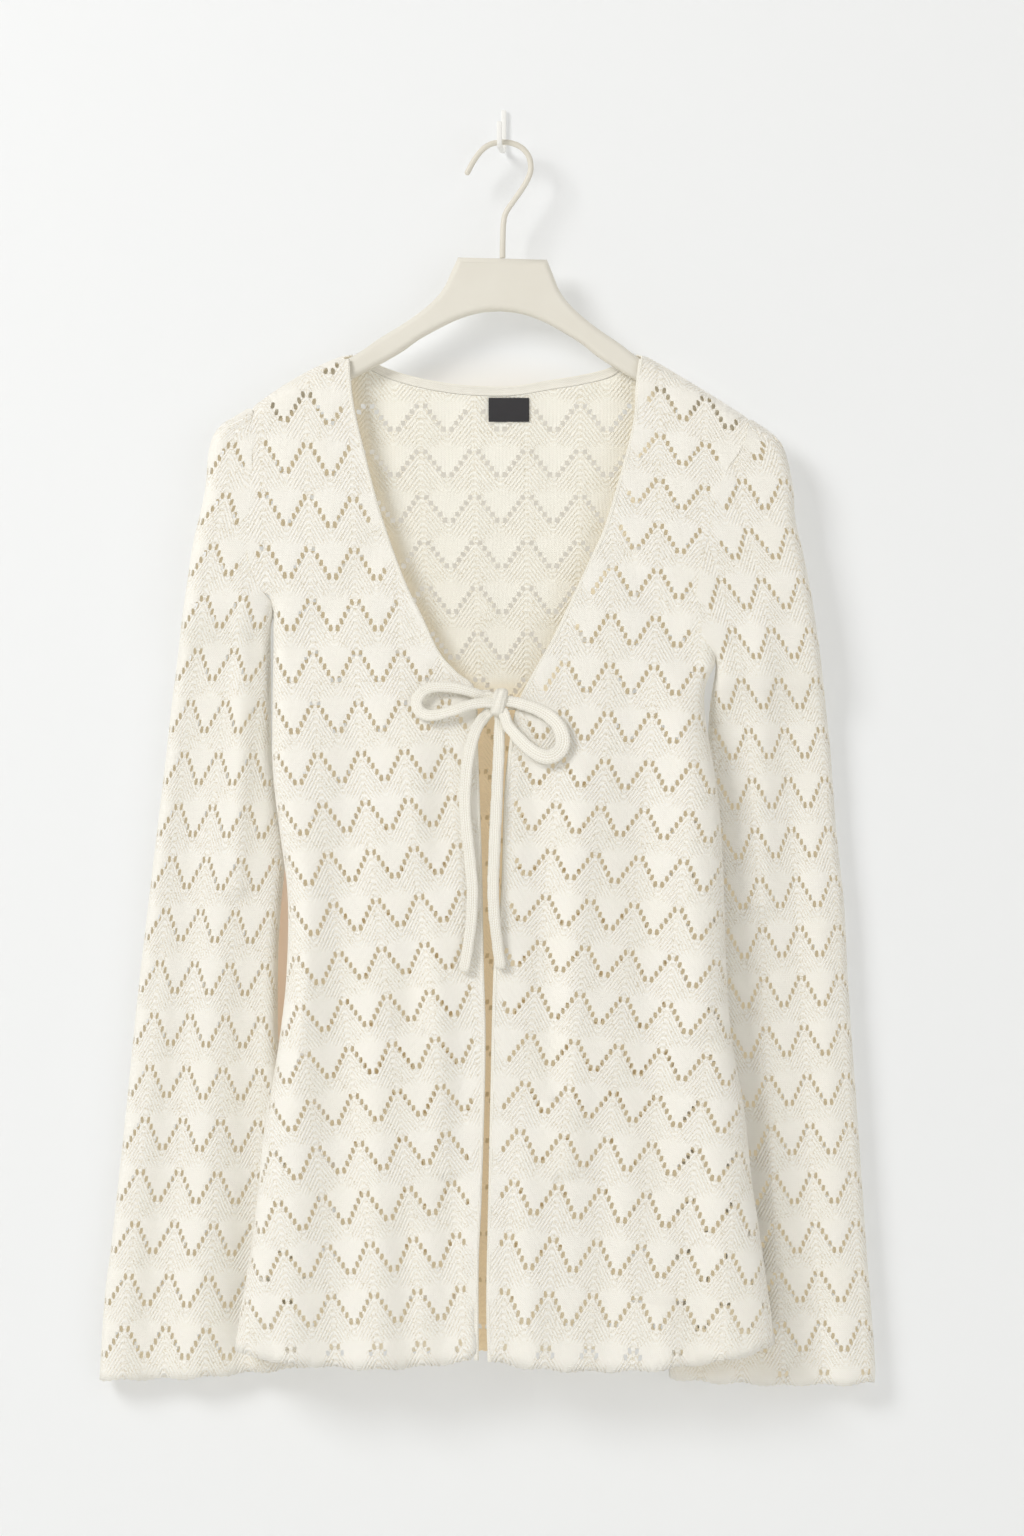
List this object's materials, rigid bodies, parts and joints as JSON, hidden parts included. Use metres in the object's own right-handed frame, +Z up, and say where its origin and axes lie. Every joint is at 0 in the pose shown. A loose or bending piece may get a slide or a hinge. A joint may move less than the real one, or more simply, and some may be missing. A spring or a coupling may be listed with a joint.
{
  "type": "crochet cardigan on a clothes hanger",
  "caption": "Long-sleeved open-front cardigan in cream openwork knit, tied with a bow at the bust, hung on a flat hanger from a small wall hook.",
  "frame": {"origin": "on the flat back face of the wall hook, where it lies against the wall", "axes": "+Z up along the hanging garment, +X to the viewer's right, +Y into the wall; the cardigan's front faces -Y"},
  "size_m": [0.5172, 0.0567, 0.8503],
  "materials": {
    "knit": "soft machine knit, matte",
    "label": "woven, matte",
    "hanger": "painted, matte",
    "wire": "painted, satin",
    "hook": "painted white, satin"
  },
  "bodies": {
    "root": {"back_panel": "knit", "front_left": "knit", "front_right": "knit", "sleeve_left": "knit", "sleeve_right": "knit", "neck_band": "knit", "edge_band_left": "knit", "edge_band_right": "knit", "tie_knot": "knit", "tie_loop_left": "knit", "tie_loop_right": "knit", "tie_tail_left": "knit", "tie_tail_right": "knit", "tie_stub_left": "knit", "tie_stub_right": "knit", "neck_label": "label", "hanger_body": "hanger", "hanger_wire": "wire", "wall_hook": "hook"}
  },
  "joints": []
}
